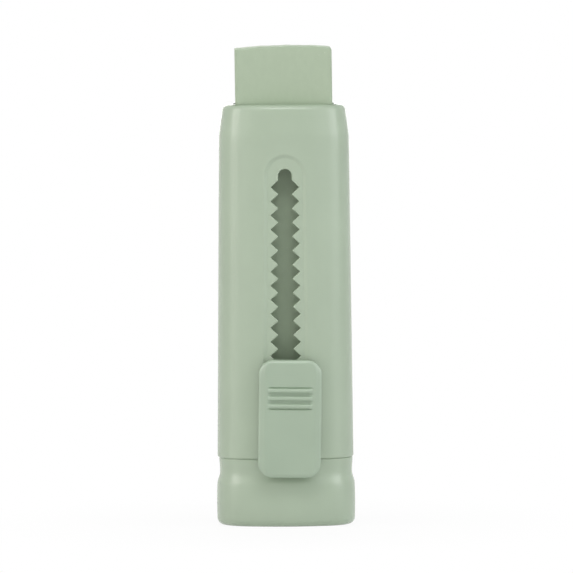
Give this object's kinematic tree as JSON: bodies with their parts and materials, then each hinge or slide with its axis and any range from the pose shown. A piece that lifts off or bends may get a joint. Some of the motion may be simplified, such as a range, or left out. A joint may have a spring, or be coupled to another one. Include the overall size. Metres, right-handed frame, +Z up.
{
  "type": "slide eraser",
  "caption": "Pocket eraser stick: an oval plastic sleeve with a toothed slot, a thumb button that clicks the eraser block out of the mouth, and a flared base cap it stands on",
  "frame": {"origin": "centre of the flat face that the base cap stands on", "axes": "+Z up along the stick to the eraser's free end; the toothed slot and thumb button face -Y; +X to the right seen from the front"},
  "size_m": [0.0296, 0.0215, 0.1024],
  "materials": {
    "body_plastic": "satin moulded polypropylene, pastel sage green",
    "button_plastic": "satin moulded plastic, the same sage green",
    "spring_plastic": "smooth springy acetal, off-white",
    "eraser_vinyl": "matt PVC-free eraser compound, sage green, with a worn end"
  },
  "bodies": {
    "housing": {"sleeve": "body_plastic", "base_cap": "body_plastic"},
    "slider": {"eraser_carriage": "button_plastic", "thumb_button": "button_plastic", "click_spring": "spring_plastic", "eraser_block": "eraser_vinyl"}
  },
  "joints": [
    {"name": "eraser_slide", "type": "slide", "parent": "housing", "child": "slider", "axis": [0, 0, 1], "range_m": [0, 0.045], "deforming": ["click_spring"]}
  ]
}
